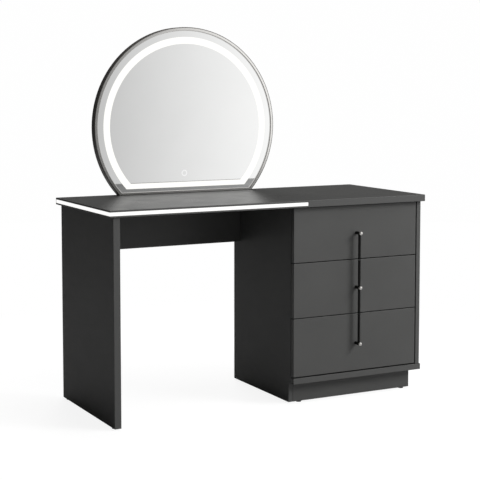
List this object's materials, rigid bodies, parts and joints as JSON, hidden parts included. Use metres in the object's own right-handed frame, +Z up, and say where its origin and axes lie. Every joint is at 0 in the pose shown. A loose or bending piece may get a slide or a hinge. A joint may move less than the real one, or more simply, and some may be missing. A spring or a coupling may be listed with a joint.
{
  "type": "vanity table with mirror",
  "caption": "Dressing table with a lit top edge, a drawer cabinet on one side, a panel leg on the other and a round lit mirror standing on the top.",
  "frame": {"origin": "on the floor, under the middle of the table's bounding box", "axes": "+X along the top towards the drawer cabinet, +Y from the drawer fronts to the back, +Z up"},
  "size_m": [1.28, 0.5448, 1.3825],
  "materials": {
    "charcoal_board": "satin charcoal laminate on fibreboard, edges banded to match",
    "back_panel": "thin fibreboard, charcoal paper face",
    "interior_board": "grey melamine with a fine linen pattern",
    "light_strip": "milky silicone strip, lit from inside",
    "mirror_light": "frosted, lit from behind",
    "mirror_silver": "clear silvered mirror glass",
    "frame_metal": "brushed gunmetal aluminium",
    "handle_black": "satin black powder coat",
    "cap_metal": "satin nickel, spun face",
    "rail_steel": "zinc-plated rolled steel",
    "bolt_steel": "zinc-plated",
    "glide_plastic": "black moulded plastic",
    "black_plastic": "fine-grained black plastic",
    "white_plastic": "moulded plastic case"
  },
  "bodies": {
    "table": {"cabinet_back": "back_panel", "cabinet_bottom": "charcoal_board", "cabinet_inner_side": "charcoal_board", "cabinet_outer_side": "charcoal_board", "edge_light_strip": "light_strip", "left_leg_panel": "charcoal_board", "leg_glide_front": "glide_plastic", "leg_glide_rear": "glide_plastic", "light_driver": "white_plastic", "mirror_back_board": "black_plastic", "mirror_bolt_left": "bolt_steel", "mirror_bolt_right": "bolt_steel", "mirror_frame": "frame_metal", "mirror_glass": "mirror_silver", "mirror_light_band": "mirror_light", "plinth_back": "charcoal_board", "plinth_front": "charcoal_board", "plinth_glide_front_inner": "glide_plastic", "plinth_glide_front_outer": "glide_plastic", "plinth_glide_rear_inner": "glide_plastic", "plinth_glide_rear_outer": "glide_plastic", "plinth_outer_side": "charcoal_board", "power_inlet": "black_plastic", "rail_cabinet_bottom_left": "rail_steel", "rail_cabinet_bottom_right": "rail_steel", "rail_cabinet_middle_left": "rail_steel", "rail_cabinet_middle_right": "rail_steel", "rail_cabinet_top_left": "rail_steel", "rail_cabinet_top_right": "rail_steel", "rear_apron": "charcoal_board", "tabletop": "charcoal_board", "touch_switch": "mirror_light"},
    "drawer_top": {"drawer_front_top": "charcoal_board", "drawer_box_top": "interior_board", "drawer_bottom_top": "interior_board", "handle_top": "handle_black", "handle_cap_top": "cap_metal", "rail_drawer_top_left": "rail_steel", "rail_drawer_top_right": "rail_steel"},
    "centre_rails_top": {"rail_centre_top_left": "rail_steel", "rail_centre_top_right": "rail_steel"},
    "drawer_middle": {"drawer_front_middle": "charcoal_board", "drawer_box_middle": "interior_board", "drawer_bottom_middle": "interior_board", "handle_middle": "handle_black", "handle_cap_middle": "cap_metal", "rail_drawer_middle_left": "rail_steel", "rail_drawer_middle_right": "rail_steel"},
    "centre_rails_middle": {"rail_centre_middle_left": "rail_steel", "rail_centre_middle_right": "rail_steel"},
    "drawer_bottom": {"drawer_front_bottom": "charcoal_board", "drawer_box_bottom": "interior_board", "drawer_bottom_bottom": "interior_board", "handle_bottom": "handle_black", "handle_cap_bottom": "cap_metal", "rail_drawer_bottom_left": "rail_steel", "rail_drawer_bottom_right": "rail_steel"},
    "centre_rails_bottom": {"rail_centre_bottom_left": "rail_steel", "rail_centre_bottom_right": "rail_steel"}
  },
  "joints": [
    {"name": "drawer_top_slide", "type": "slide", "parent": "table", "child": "drawer_top", "axis": [0, -1, 0], "range_m": [0, 0.36]},
    {"name": "centre_rails_top_slide", "type": "slide", "parent": "table", "child": "centre_rails_top", "axis": [0, -1, 0], "range_m": [0, 0.18]},
    {"name": "drawer_middle_slide", "type": "slide", "parent": "table", "child": "drawer_middle", "axis": [0, -1, 0], "range_m": [0, 0.36]},
    {"name": "centre_rails_middle_slide", "type": "slide", "parent": "table", "child": "centre_rails_middle", "axis": [0, -1, 0], "range_m": [0, 0.18]},
    {"name": "drawer_bottom_slide", "type": "slide", "parent": "table", "child": "drawer_bottom", "axis": [0, -1, 0], "range_m": [0, 0.36]},
    {"name": "centre_rails_bottom_slide", "type": "slide", "parent": "table", "child": "centre_rails_bottom", "axis": [0, -1, 0], "range_m": [0, 0.18]}
  ],
  "couplings": [
    {"joint": "centre_rails_top_slide", "follows": "drawer_top_slide", "ratio": 0.5},
    {"joint": "centre_rails_middle_slide", "follows": "drawer_middle_slide", "ratio": 0.5},
    {"joint": "centre_rails_bottom_slide", "follows": "drawer_bottom_slide", "ratio": 0.5}
  ]
}
